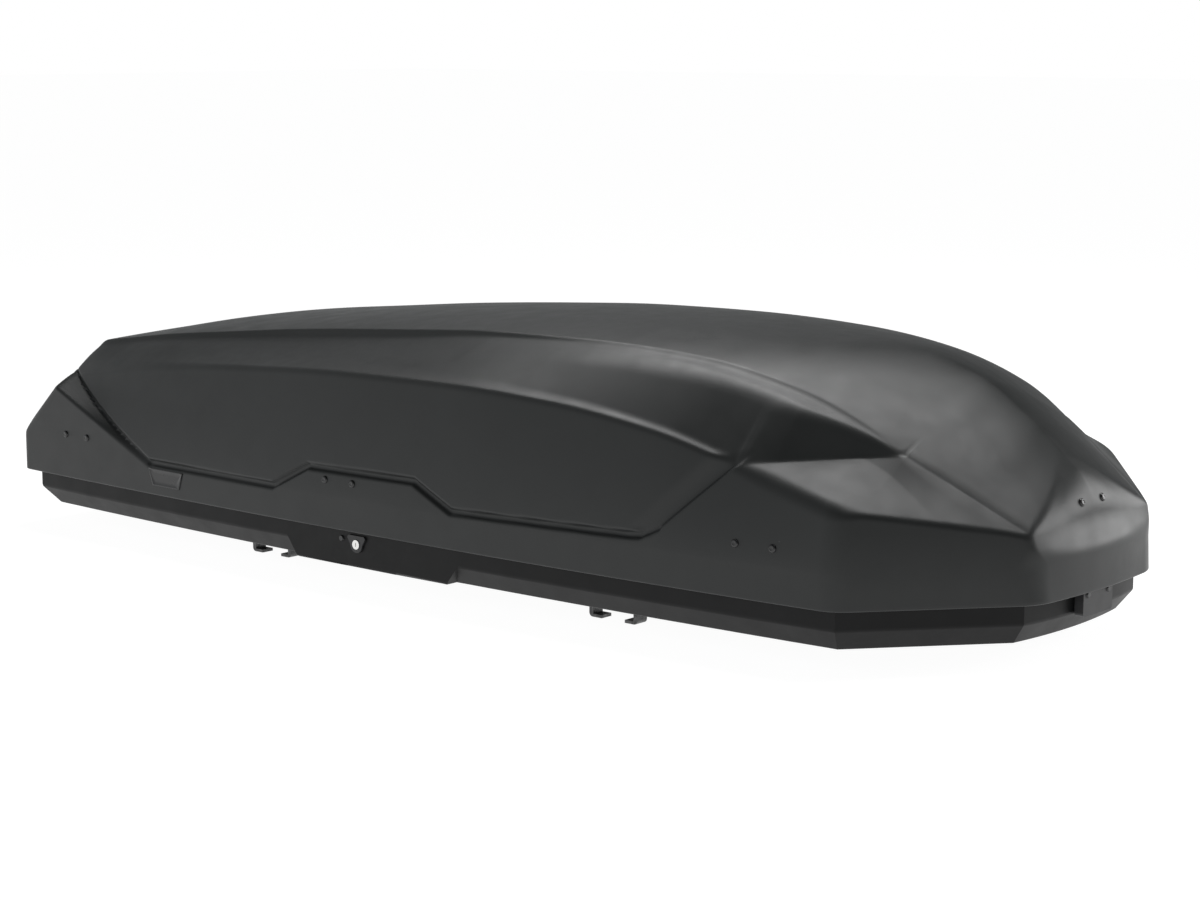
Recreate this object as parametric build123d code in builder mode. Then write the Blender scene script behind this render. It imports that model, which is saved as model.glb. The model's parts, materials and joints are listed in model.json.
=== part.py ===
"""Roof cargo box that opens from both sides, modelled as an assembly of separate pieces.

Millimetres. X runs forward (nose at +X), Y to the left of the vehicle, Z up. The origin is on the
ground plane under the centre of the box: Z = 0 is the underside of the clamp claws it stands on.
"""

import os

from build123d import *

# ---------------------------------------------------------------- driving dimensions
LENGTH = 2100.0  # over the lid, tail to nose tip
WIDTH = 860.0  # over the lid skirt at its widest
RIM_Z = 100.0  # lower edge of the lid
LID_WALL = 3.5
TUB_WALL = 4.0
TUB_INSET = 24.0  # the tub stands this far inside the lid skirt
TUB_FLOOR_Z = 34.0  # underside of the floor
TUB_BEVEL_Z = 67.0  # where the tub's side wall turns inwards
TUB_BEVEL_INSET = 26.0
TUB_BEVEL_ROUND = 8.0
TUB_FLOOR_ROUND = 5.0
TUB_TOP_Z = 112.0
LOCK_BAY_REAR_X = -305.0  # the straight-walled lock bay in each side of the tub
LOCK_BAY_FRONT_X = 100.0
LOCK_BAY_SLOPE = 26.0

HALF = LENGTH / 2
FLOOR_TOP_Z = TUB_FLOOR_Z + TUB_WALL

# plan outline of the lid, right half: tail corner, widest point, front corner and nose corner
TAIL_CORNER = (-HALF, 395.0)
WIDEST_X = -7.0
FRONT_CORNER = (838.0, 400.0)
NOSE_CORNER = (1034.0, 172.0)

# hinges and latches, the same on both sides
PIN_Y = 340.0
PIN_Z = RIM_Z - 20.0
PIN_R = 4.0
RUNNING = 0.05
HINGE_XS = (-875.0, -152.0, 700.0)
CHEEK_IN, CHEEK_OUT = 10.0, 22.0
PIN_REAR, PIN_FRONT = -40.0, 24.0
LOCK_STROKE = 16.0

# lid lifters: two arms of equal length that meet on the left hinge axis
LIFTER_XS = (-958.0, 825.0)
LIFTER_RISE = 30.0
ARM_THICK = 4.0
ARM_WIDTH = 18.0

# crossbar clamps
CLAMP_XS = {"rear": -450.0, "front": 350.0}
CLAMP_Y = 298.0
CLAMP_SLIDE = 80.0
JAW_LEG_X = 42.0
JAW_LEG_THICK = 8.0
JAW_HALF = 12.0

# lid lines, one row per station along X: skirt half width, top of the upright skirt, shoulder ridge
# (y, z), crown edge (y, z) and the height of the roof on the centre line
STATIONS = [
    (-1050.0, 395.0, 173.0, 384.0, 174.0, 255.0, 176.0, 178.0),
    (-1020.0, 397.0, 186.0, 372.0, 205.0, 262.0, 216.0, 222.0),
    (-930.0, 403.0, 196.0, 347.0, 288.0, 292.0, 338.0, 350.0),
    (-700.0, 413.0, 196.0, 372.0, 322.0, 264.0, 373.0, 392.0),
    (-300.0, 426.0, 196.0, 394.0, 354.0, 252.0, 408.0, 431.0),
    (100.0, 430.0, 196.0, 398.0, 361.0, 250.0, 431.0, 455.0),
    (380.0, 423.0, 196.0, 392.0, 344.0, 250.0, 430.0, 456.0),
    (645.0, 411.0, 196.0, 381.0, 293.0, 247.0, 398.0, 443.0),
    (838.0, 400.0, 196.0, 388.0, 243.0, 240.0, 318.0, 396.0),
    (950.0, 270.0, 184.0, 261.0, 214.0, 190.0, 255.0, 320.0),
    (1034.0, 172.0, 168.0, 166.0, 190.0, 130.0, 206.0, 228.0),
    (1050.0, 60.0, 160.0, 56.0, 166.0, 40.0, 169.0, 171.0),
]

SIDES = {"left": 1, "right": -1}
RIVET_SPREAD = 33.0
RIVET_Z = RIM_Z + 82.0


# ---------------------------------------------------------------- shared helpers
def lines_at(x):
    """The lid's station values at any x, straight between two stations."""
    for near, far in zip(STATIONS, STATIONS[1:]):
        if near[0] <= x <= far[0]:
            share = (x - near[0]) / (far[0] - near[0])
            return [a + share * (b - a) for a, b in zip(near[1:], far[1:])]
    raise ValueError("x is outside the lid")


def skirt_y(x):
    """Outer half width of the lid skirt at x."""
    return lines_at(x)[0]


def roof_points(values, inset):
    """Crown edge to centre line, for one half, lowered by the inset."""
    crown_y, crown_z, top_z = values[4:]
    half_way_z = crown_z + 0.75 * (top_z - crown_z)
    return [(crown_y, crown_z - inset), (crown_y / 2, half_way_z - inset), (0, top_z - inset)]


def lid_section(values, inset):
    """Closed outline of the lid across X, as (y, z) points, moved in by the inset."""
    width, skirt_top, ridge_y, ridge_z = values[:4]
    half = [
        (width - inset, RIM_Z - 0.5 * inset),
        (width - inset, skirt_top - 0.2 * inset),
        (ridge_y - inset, ridge_z - 0.6 * inset),
    ]
    half += roof_points(values, inset)
    return half + [(-y, z) for y, z in reversed(half[:-1])]


def lid_volume(inset):
    """The lid's outer volume, or with an inset the hollow inside it."""
    with BuildPart() as volume:
        for row in STATIONS:
            x = row[0] * (HALF - inset) / HALF
            with BuildSketch(Plane.YZ.offset(x)):
                with BuildLine():
                    Polyline(*lid_section(row[1:], inset), close=True)
                make_face()
        loft(ruled=True)
    return volume.part


def plan_outline(inset):
    """Sketch of the lid's plan outline, moved in by the inset."""
    with BuildSketch() as plan:
        with BuildLine():
            ThreePointArc(TAIL_CORNER, (WIDEST_X, WIDTH / 2), FRONT_CORNER)
            Line(FRONT_CORNER, NOSE_CORNER)
            ThreePointArc(NOSE_CORNER, (HALF, 0), (NOSE_CORNER[0], -NOSE_CORNER[1]))
            mirrored_front = (FRONT_CORNER[0], -FRONT_CORNER[1])
            mirrored_tail = (TAIL_CORNER[0], -TAIL_CORNER[1])
            Line((NOSE_CORNER[0], -NOSE_CORNER[1]), mirrored_front)
            ThreePointArc(mirrored_front, (WIDEST_X, -WIDTH / 2), mirrored_tail)
            Line(mirrored_tail, TAIL_CORNER)
        make_face()
        offset(amount=-inset, kind=Kind.INTERSECTION)
    return plan.sketch


def tub_volume(wall, top_z):
    """The tub's outer volume, or with a wall thickness the hollow inside it."""
    side = TUB_INSET + wall
    floor_z = TUB_FLOOR_Z + wall
    bevel_z = TUB_BEVEL_Z + 0.5 * wall
    with BuildPart() as bay:
        with BuildSketch(Plane.XZ):
            with BuildLine():
                Polyline(
                    (LOCK_BAY_REAR_X + wall, bevel_z + 1),
                    (LOCK_BAY_FRONT_X - wall, bevel_z + 1),
                    (LOCK_BAY_FRONT_X - LOCK_BAY_SLOPE - wall, floor_z),
                    (LOCK_BAY_REAR_X + LOCK_BAY_SLOPE + wall, floor_z),
                    close=True,
                )
            make_face()
        extrude(amount=WIDTH, both=True)
        with BuildSketch(Plane.XY.offset(floor_z)):
            add(plan_outline(side))
        extrude(amount=TUB_TOP_Z, mode=Mode.INTERSECT)
    with BuildPart() as volume:
        with BuildSketch(Plane.XY.offset(bevel_z)):
            add(plan_outline(side))
        with BuildSketch(Plane.XY.offset(floor_z)):
            add(plan_outline(side + TUB_BEVEL_INSET))
        loft(ruled=True)
        with BuildSketch(Plane.XY.offset(bevel_z)):
            add(plan_outline(side))
        extrude(amount=top_z - bevel_z)
        add(bay.part)
    return volume.part


def block(x0, x1, y0, y1, z0, z1, mode=Mode.ADD):
    """Add or cut a rectangular block given by its limits."""
    with BuildSketch(Plane.XY.offset(min(z0, z1))) as face:
        with Locations(((x0 + x1) / 2, (y0 + y1) / 2)):
            Rectangle(abs(x1 - x0), abs(y1 - y0))
    extrude(face.sketch, amount=abs(z1 - z0), mode=mode)


def rod_x(x0, x1, y, z, radius, mode=Mode.ADD):
    """Add or cut a round bar along X."""
    with BuildSketch(Plane.YZ.offset(min(x0, x1))) as face:
        with Locations((y, z)):
            Circle(radius)
    extrude(face.sketch, amount=abs(x1 - x0), mode=mode)


def rod_y(y0, y1, x, z, radius, mode=Mode.ADD):
    """Add or cut a round bar along Y."""
    with BuildSketch(Plane.XZ.offset(-max(y0, y1))) as face:
        with Locations((x, z)):
            Circle(radius)
    extrude(face.sketch, amount=abs(y1 - y0), mode=mode)


def rod_z(z0, z1, x, y, radius, mode=Mode.ADD):
    """Add or cut a round bar along Z."""
    with BuildSketch(Plane.XY.offset(min(z0, z1))) as face:
        with Locations((x, y)):
            Circle(radius)
    extrude(face.sketch, amount=abs(z1 - z0), mode=mode)


def save(builder, name):
    """Label a finished piece and write its STEP file."""
    builder.part.label = name
    export_step(builder.part, f"parts/{name}.step")


# ---------------------------------------------------------------- lid and tub
SOCKET_FACE_X = 1026.0


def make_lid_shell():
    with BuildPart() as lid:
        add(lid_volume(0))
        add(lid_volume(LID_WALL), mode=Mode.SUBTRACT)
    save(lid, "lid_shell")


SLOT_HALF_LENGTH = CLAMP_SLIDE + JAW_LEG_X + JAW_LEG_THICK + 2
SLOT_HALF_WIDTH = JAW_HALF + 0.6
LOCK_X = -130.0
LOCK_Z = 75.0
BARREL_R = 8.0


def make_base_tub():
    with BuildPart() as tub:
        add(tub_volume(0, TUB_TOP_Z))
        bevel_edges = tub.edges().filter_by_position(Axis.Z, TUB_BEVEL_Z - 1.5, TUB_BEVEL_Z + 1.5)
        fillet(bevel_edges, TUB_BEVEL_ROUND)
        fillet(tub.edges().group_by(Axis.Z)[0], TUB_FLOOR_ROUND)
        add(tub_volume(TUB_WALL, TUB_TOP_Z + 1), mode=Mode.SUBTRACT)
        for x in CLAMP_XS.values():
            for side in (1, -1):
                y = side * CLAMP_Y
                block(
                    x - SLOT_HALF_LENGTH, x + SLOT_HALF_LENGTH,
                    y - SLOT_HALF_WIDTH, y + SLOT_HALF_WIDTH,
                    TUB_FLOOR_Z - 1, FLOOR_TOP_Z + 1, Mode.SUBTRACT,
                )
        rod_y(-WIDTH, WIDTH, LOCK_X, LOCK_Z, BARREL_R + 1, Mode.SUBTRACT)
    save(tub, "base_tub")


# ---------------------------------------------------------------- floor stiffening
RAIL_Y = 222.0
RAIL_WIDTH = 30.0
RAIL_HEIGHT = 14.0
RAIL_METAL = 2.0
RAIL_ENDS = (-820.0, 740.0)


def make_base_rails():
    for name, side in SIDES.items():
        with BuildPart() as rail:
            y = side * RAIL_Y
            outer = RAIL_WIDTH / 2
            inner = outer - RAIL_METAL
            top = FLOOR_TOP_Z + RAIL_HEIGHT
            block(*RAIL_ENDS, y - outer, y + outer, FLOOR_TOP_Z, top)
            block(
                *RAIL_ENDS, y - inner, y + inner,
                FLOOR_TOP_Z, top - RAIL_METAL, Mode.SUBTRACT,
            )
        save(rail, f"base_rail_{name}")


def make_floor_braces():
    with BuildPart() as braces:
        reach = RAIL_Y - RAIL_WIDTH / 2
        for x in CLAMP_XS.values():
            block(x - 25, x + 25, -reach, reach, FLOOR_TOP_Z, FLOOR_TOP_Z + 10)
            block(x - 22, x + 22, -reach, reach, FLOOR_TOP_Z, FLOOR_TOP_Z + 8, Mode.SUBTRACT)
    save(braces, "floor_braces")


# ---------------------------------------------------------------- hinges
SADDLE_TOP_Z = PIN_Z + 12.0
LOCK_BAR_Y = (PIN_Y - 10.0, PIN_Y)
LOCK_BAR_Z = (50.0, 60.0)
EYE_HALF = 9.0
EYE_R = 9.0


def make_latch_saddles():
    for name, side in SIDES.items():
        with BuildPart() as saddles:
            near, far = side * (PIN_Y - 22), side * (PIN_Y + 14)
            for x in HINGE_XS:
                block(x - CHEEK_OUT - 6, x + CHEEK_OUT + 6, near, side * (PIN_Y + 10),
                      FLOOR_TOP_Z, FLOOR_TOP_Z + 4)
                for end in (1, -1):
                    block(x + end * CHEEK_IN, x + end * CHEEK_OUT, near, far,
                          FLOOR_TOP_Z + 4, SADDLE_TOP_Z)
                # window that the lock bar slides through
                block(x - CHEEK_OUT, x + CHEEK_OUT,
                      side * (LOCK_BAR_Y[0] - 2.5), side * (LOCK_BAR_Y[1] + 2.5),
                      LOCK_BAR_Z[0] - 2.5, LOCK_BAR_Z[1] + 2.5, Mode.SUBTRACT)
                # seat for the pin, open at the top
                rod_x(x - CHEEK_OUT, x + CHEEK_OUT, side * PIN_Y, PIN_Z, PIN_R + 0.3,
                      Mode.SUBTRACT)
                block(x - CHEEK_OUT, x + CHEEK_OUT,
                      side * PIN_Y - PIN_R - 0.4, side * PIN_Y + PIN_R + 0.4,
                      PIN_Z, SADDLE_TOP_Z + 1, Mode.SUBTRACT)
        save(saddles, f"latch_saddles_{name}")


def make_hinge_pins():
    for name, side in SIDES.items():
        with BuildPart() as pins:
            for x in HINGE_XS:
                rod_x(x + PIN_REAR, x + PIN_FRONT, side * PIN_Y, PIN_Z, PIN_R)
        save(pins, f"{name}_hinge_pins")


ARM_METAL = 4.0
PLATE_METAL = 3.0
PLATE_Z = (168.0, 194.0)


def plate_y(x):
    """Outboard face of a hinge plate, just inside the skirt over the plate's length."""
    return min(skirt_y(x - 45), skirt_y(x + 45)) - LID_WALL - 0.3


def make_hinge_arms():
    for name, side in SIDES.items():
        with BuildPart() as arms:
            for x in HINGE_XS:
                with BuildSketch(Plane.YZ.offset(x - EYE_HALF)):
                    with BuildLine():
                        Polyline(
                            (side * PIN_Y, PIN_Z),
                            (side * (PIN_Y - 12), PIN_Z + 40),
                            (side * (PIN_Y - 12), PIN_Z + 80),
                            (side * (PIN_Y + 8), PLATE_Z[0] + 13),
                            (side * (plate_y(x) - 1), PLATE_Z[0] + 13),
                        )
                    trace(line_width=ARM_METAL)
                    with Locations((side * PIN_Y, PIN_Z)):
                        Circle(EYE_R)
                extrude(amount=2 * EYE_HALF)
                block(x - 45, x + 45, side * (plate_y(x) - PLATE_METAL), side * plate_y(x),
                      *PLATE_Z)
                rod_x(x - EYE_HALF - 1, x + EYE_HALF + 1, side * PIN_Y, PIN_Z,
                      PIN_R + RUNNING, Mode.SUBTRACT)
        save(arms, f"{name}_hinge_arms")


# ---------------------------------------------------------------- locks
TAB_Y = (PIN_Y + 36.5, PIN_Y + 39.4)
CRANK_Y = (PIN_Y + 40.0, PIN_Y + 44.0)
SLEEVE_REAR, SLEEVE_FRONT = -58.0, -42.0
SLEEVE_R = 8.0
BAR_ENDS = (-945.0, 662.0)


def make_lock_bars():
    for name, side in SIDES.items():
        with BuildPart() as bar:
            block(*BAR_ENDS, side * LOCK_BAR_Y[0], side * LOCK_BAR_Y[1], *LOCK_BAR_Z)
            link_x = (HINGE_XS[1] - 60, HINGE_XS[1] - 44)
            block(*link_x, side * LOCK_BAR_Y[1], side * TAB_Y[1], LOCK_BAR_Z[0], 56)
            block(link_x[0], LOCK_X + 2, side * TAB_Y[0], side * TAB_Y[1], LOCK_BAR_Z[0], 77)
            # upright slot driven by the crank pin
            slot_x = LOCK_X - LOCK_STROKE / 2
            block(slot_x - 3, slot_x + 3, side * TAB_Y[0], side * TAB_Y[1],
                  59, 71, Mode.SUBTRACT)
        save(bar, f"lock_bar_{name}")


def make_lock_sleeves():
    for name, side in SIDES.items():
        with BuildPart() as sleeves:
            for x in HINGE_XS:
                rod_x(x + SLEEVE_REAR, x + SLEEVE_FRONT, side * PIN_Y, PIN_Z, SLEEVE_R)
                block(x + SLEEVE_REAR, x + SLEEVE_FRONT, side * (PIN_Y - 6), side * PIN_Y,
                      LOCK_BAR_Z[1], PIN_Z - 5)
                rod_x(x + SLEEVE_REAR, x + SLEEVE_FRONT, side * PIN_Y, PIN_Z, PIN_R + 0.4,
                      Mode.SUBTRACT)
        save(sleeves, f"lock_sleeves_{name}")


GUIDE_XS = (-700.0, 0.0, 560.0)


def make_lock_bar_guides():
    with BuildPart() as guides:
        for side in (1, -1):
            for x in GUIDE_XS:
                block(x - 10, x + 10, side * (LOCK_BAR_Y[0] - 4), side * (LOCK_BAR_Y[1] + 4),
                      FLOOR_TOP_Z, LOCK_BAR_Z[1] + 4)
                block(x - 10, x + 10, side * (LOCK_BAR_Y[0] - 0.5), side * (LOCK_BAR_Y[1] + 0.5),
                      LOCK_BAR_Z[0] - 0.5, LOCK_BAR_Z[1] + 0.5, Mode.SUBTRACT)
    save(guides, "lock_bar_guides")


TUB_SIDE_Y = WIDTH / 2 - TUB_INSET  # outer face of the tub at the lock


def make_locks():
    for name, side in SIDES.items():
        wall_in = TUB_SIDE_Y - TUB_WALL - 0.6
        with BuildPart() as housing:
            block(LOCK_X - 25, LOCK_X + 25, side * (CRANK_Y[1] + 0.6), side * wall_in, 56, 96)
            rod_y(side * CRANK_Y[1], side * WIDTH / 2, LOCK_X, LOCK_Z, BARREL_R + 0.08,
                  Mode.SUBTRACT)
        save(housing, f"lock_housing_{name}")

        with BuildPart() as barrel:
            rod_y(side * CRANK_Y[1], side * (TUB_SIDE_Y + 5), LOCK_X, LOCK_Z, BARREL_R)
            # keyhole
            block(LOCK_X - 0.6, LOCK_X + 0.6, side * (TUB_SIDE_Y - 7), side * (TUB_SIDE_Y + 5),
                  LOCK_Z - 3.5, LOCK_Z + 3.5, Mode.SUBTRACT)
        save(barrel, f"key_barrel_{name}")

        with BuildPart() as crank:
            rod_y(side * CRANK_Y[0], side * CRANK_Y[1], LOCK_X, LOCK_Z, BARREL_R)
            pin_x = LOCK_X - LOCK_STROKE / 2
            pin_z = LOCK_Z - LOCK_STROKE / 2
            rod_y(side * CRANK_Y[0], side * CRANK_Y[1], pin_x, pin_z, 5)
            rod_y(side * (TAB_Y[0] - 1), side * CRANK_Y[1], pin_x, pin_z, 2.2)
        save(crank, f"key_crank_{name}")

        with BuildPart() as escutcheon:
            with BuildSketch(Plane.XZ.offset(-side * (TUB_SIDE_Y + 0.3))) as plate:
                with Locations((LOCK_X, LOCK_Z)):
                    Circle(14)
                with BuildLine():
                    Polyline((LOCK_X - 24, LOCK_Z + 15), (LOCK_X + 24, LOCK_Z + 15),
                             (LOCK_X + 6, LOCK_Z - 13), (LOCK_X - 6, LOCK_Z - 13), close=True)
                make_face()
                fillet(plate.vertices().group_by(Axis.Y)[-1], 4)
            extrude(amount=-side * 3.5)
            rod_y(0, side * WIDTH, LOCK_X, LOCK_Z, BARREL_R + 0.4, Mode.SUBTRACT)
        save(escutcheon, f"lock_escutcheon_{name}")


# ---------------------------------------------------------------- nose guide
SOCKET_PROUD = 15.0
SOCKET_Y = 43.0
NOSE_FIXING_Y = 30.0
NOSE_RIVET_X = 1024.0


def make_nose_guide():
    with BuildPart() as socket:
        face = SOCKET_FACE_X + 0.4
        block(face, face + SOCKET_PROUD, -SOCKET_Y, SOCKET_Y, 62, 106)
        fillet(socket.edges().filter_by(Axis.X), 6)
        inner = SOCKET_FACE_X - TUB_WALL - 1.0
        for side in (1, -1):
            block(inner - 18, inner, side * 29, side * 35, 72, 104)
        block(inner - 4, inner, -35, 35, 72, 78)
    save(socket, "nose_guide_socket")

    with BuildPart() as tongue:
        for side in (1, -1):
            block(1004, 1009, side * 14, side * 24, 80, 205)
        block(1004, 1017, -42, 42, 200, 205)
        block(1012, 1017, -42, 42, 205, 224)
        fillet(tongue.edges().filter_by(Axis.X).group_by(Axis.Z)[0], 3)
    save(tongue, "nose_guide_tongue")


# ---------------------------------------------------------------- fasteners
HEAD_R = 5.5
HEAD_RISE = 2.5
SHANK_R = 2.6


def dome_y(x, y, z, side):
    """Low round fastener head on a face that looks along Y."""
    with BuildSketch(Plane.XZ.offset(-y)) as face:
        with Locations((x, z)):
            Circle(HEAD_R)
    extrude(face.sketch, amount=-side * HEAD_RISE, taper=25)


def make_lid_rivets():
    with BuildPart() as rivets:
        for side in (1, -1):
            for centre in HINGE_XS:
                for x in (centre - RIVET_SPREAD, centre + RIVET_SPREAD):
                    outside = skirt_y(x)
                    rod_y(side * (plate_y(centre) - PLATE_METAL - 1.5), side * outside,
                          x, RIVET_Z, SHANK_R)
                    dome_y(x, side * outside, RIVET_Z, side)
            rod_x(1009, NOSE_RIVET_X + 8, side * NOSE_FIXING_Y, 214, SHANK_R)
            with BuildSketch(Plane.YZ.offset(NOSE_RIVET_X + 8)):
                with Locations((side * NOSE_FIXING_Y, 214)):
                    Circle(HEAD_R)
            extrude(amount=HEAD_RISE, taper=25)
    save(rivets, "lid_rivets")


def make_base_screws():
    with BuildPart() as screws:
        for side in (1, -1):
            rod_x(SOCKET_FACE_X - 14, SOCKET_FACE_X + 14, side * NOSE_FIXING_Y, 95, SHANK_R)
            with BuildSketch(Plane.YZ.offset(SOCKET_FACE_X + 0.4 + SOCKET_PROUD)):
                with Locations((side * NOSE_FIXING_Y, 95)):
                    Circle(HEAD_R)
            extrude(amount=HEAD_RISE, taper=25)
            # lock housing screw beside each key
            outside = TUB_SIDE_Y
            rod_y(side * (outside - 12), side * outside, LOCK_X - 38, LOCK_Z + 6, SHANK_R)
            dome_y(LOCK_X - 38, side * outside, LOCK_Z + 6, side)
            # floor screws that hold the hinge saddles
            for centre in HINGE_XS:
                for x in (centre - CHEEK_OUT - 3, centre + CHEEK_OUT + 3):
                    rod_z(FLOOR_TOP_Z - 3, FLOOR_TOP_Z + 4, x, side * (PIN_Y - 14), 1.6)
                    rod_z(FLOOR_TOP_Z + 4, FLOOR_TOP_Z + 5.5, x, side * (PIN_Y - 14), 2.8)
    save(screws, "base_screws")


# ---------------------------------------------------------------- lid trim and stiffeners
STIFFENERS = {"rear": -420.0, "front": 300.0}
STIFFENER_REACH = 205.0
BADGE_X = (-656.0, -557.0)
BADGE_Z = (RIM_Z + 18.0, RIM_Z + 49.0)
BADGE_TAPER = 11.0
BADGE_THICK = 2.0
BADGE_GAP = 0.2


def make_lid_stiffeners():
    for name, x in STIFFENERS.items():
        with BuildPart() as stiffener:
            with BuildSketch(Plane.YZ.offset(x - 25)):
                upper = roof_points(lines_at(x), LID_WALL + 2.5)
                lower = roof_points(lines_at(x), LID_WALL + 14)
                left = [(-y, z) for y, z in reversed(upper[:-1])]
                under = [(-y, z) for y, z in lower[:-1]] + list(reversed(lower))
                with BuildLine():
                    Polyline(*upper, *left, *under, close=True)
                make_face()
            extrude(amount=50)
            for side in SIDES.values():
                block(
                    x - 25, x + 25, side * STIFFENER_REACH, side * WIDTH / 2,
                    RIM_Z, HALF, Mode.SUBTRACT,
                )
        save(stiffener, f"lid_stiffener_{name}")


def make_badges():
    for name, side in SIDES.items():
        rear, front = [Vector(x, side * skirt_y(x), 0) for x in BADGE_X]
        along = front - rear
        out = Vector(-along.Y, along.X, 0).normalized() * side
        foot, top = [-side * z for z in BADGE_Z]
        with BuildPart() as badge:
            with BuildSketch(Plane(origin=rear + out * BADGE_GAP, x_dir=along, z_dir=out)):
                with BuildLine():
                    Polyline((0, top), (along.length, top), (along.length - BADGE_TAPER, foot),
                             (BADGE_TAPER, foot), close=True)
                make_face()
            extrude(amount=BADGE_THICK)
            fillet(badge.edges().filter_by(Axis((0, 0, 0), out.to_tuple())), 2)
        save(badge, f"badge_{name}")


# ---------------------------------------------------------------- lid lifters
LOW_PIVOT_Z = PIN_Z - LIFTER_RISE
HIGH_PIVOT_Z = PIN_Z + LIFTER_RISE
ARM_GAP = 1.0
PIVOT_R = 4.0


def arm_bar(x, low, high):
    """Flat bar with round ends between two pivots, standing across X from x."""
    with BuildSketch(Plane.YZ.offset(x)) as face:
        with BuildLine():
            Polyline(low, high)
        trace(line_width=ARM_WIDTH)
        with Locations(low, high):
            Circle(ARM_WIDTH / 2)
    extrude(face.sketch, amount=ARM_THICK)


def make_lifters():
    elbow = (PIN_Y, PIN_Z)
    low = (0, LOW_PIVOT_Z)
    high = (0, HIGH_PIVOT_Z)
    with BuildPart() as lower:
        for x in LIFTER_XS:
            arm_bar(x, low, elbow)
            rod_x(x - 1, x + ARM_THICK + 1, *low, PIVOT_R + RUNNING, Mode.SUBTRACT)
            rod_x(x - 1, x + ARM_THICK + 1, *elbow, PIVOT_R, Mode.SUBTRACT)
    save(lower, "lifter_lower_arms")

    with BuildPart() as upper:
        for x in LIFTER_XS:
            start = x + ARM_THICK + ARM_GAP
            arm_bar(start, high, elbow)
            rod_x(start - 1, start + ARM_THICK + 1, *high, PIVOT_R + RUNNING, Mode.SUBTRACT)
            rod_x(start - 1, start + ARM_THICK + 1, *elbow, PIVOT_R + 0.3, Mode.SUBTRACT)
    save(upper, "lifter_upper_arms")

    with BuildPart() as elbows:
        for x in LIFTER_XS:
            rod_x(x, x + 2 * ARM_THICK + ARM_GAP + 1, *elbow, PIVOT_R)
            rod_x(x + 2 * ARM_THICK + ARM_GAP + 1, x + 2 * ARM_THICK + ARM_GAP + 3, *elbow, 6.5)
    save(elbows, "lifter_elbow_pins")

    with BuildPart() as brackets:
        for x in LIFTER_XS:
            plate = x - ARM_GAP - 4
            block(plate - 26, plate + 4, -26, 26, FLOOR_TOP_Z, FLOOR_TOP_Z + 3)
            block(plate, plate + 4, -16, 16, FLOOR_TOP_Z + 3, LOW_PIVOT_Z + 11)
            rod_x(plate - 12, x + ARM_THICK + 2, *low, PIVOT_R)
            fillet(brackets.edges().filter_by(Axis.X).group_by(Axis.Z)[-1], 6)
    save(brackets, "lifter_base_brackets")

    with BuildPart() as springs:
        for x in LIFTER_XS:
            plate = x - ARM_GAP - 4
            for turn in range(3):
                start = plate - 3 - 2.6 * turn
                rod_x(start, start - 2.2, *low, PIVOT_R + 4)
            rod_x(plate - 1, plate - 11, *low, PIVOT_R + 2.2)
            rod_x(plate, plate - 13, *low, PIVOT_R + 0.2, Mode.SUBTRACT)
    save(springs, "lifter_springs")

    with BuildPart() as hangers:
        for x, anchor in zip(LIFTER_XS, (-HALF, HALF)):
            start = x + 2 * ARM_THICK + 2 * ARM_GAP
            inner = anchor * (HALF - LID_WALL - 1.5) / HALF
            block(start, start + 4, -14, 14, HIGH_PIVOT_Z - 10, HIGH_PIVOT_Z + 40)
            if anchor < 0:
                block(inner, start + 4, -40, 40, HIGH_PIVOT_Z + 24, HIGH_PIVOT_Z + 28)
                block(inner, inner + 4, -40, 40, HIGH_PIVOT_Z + 8, HIGH_PIVOT_Z + 50)
            else:
                block(start, inner - 4, -12, 12, HIGH_PIVOT_Z + 24, HIGH_PIVOT_Z + 28)
                block(inner - 8, inner - 4, -36, 36, HIGH_PIVOT_Z + 12, HIGH_PIVOT_Z + 48)
            rod_x(x + ARM_THICK + ARM_GAP, start + 7, *high, PIVOT_R)
    save(hangers, "lifter_lid_brackets")


# ---------------------------------------------------------------- crossbar clamps
CARRIAGE_HALF = (75.0, 26.0)
CARRIAGE_Z = (FLOOR_TOP_Z + 0.3, 68.0)
SLIDER_Z = (44.3, 59.7)
PAD_Z = (TUB_FLOOR_Z - 6.0, TUB_FLOOR_Z - 0.3)
KNOB_R = 27.0


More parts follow.
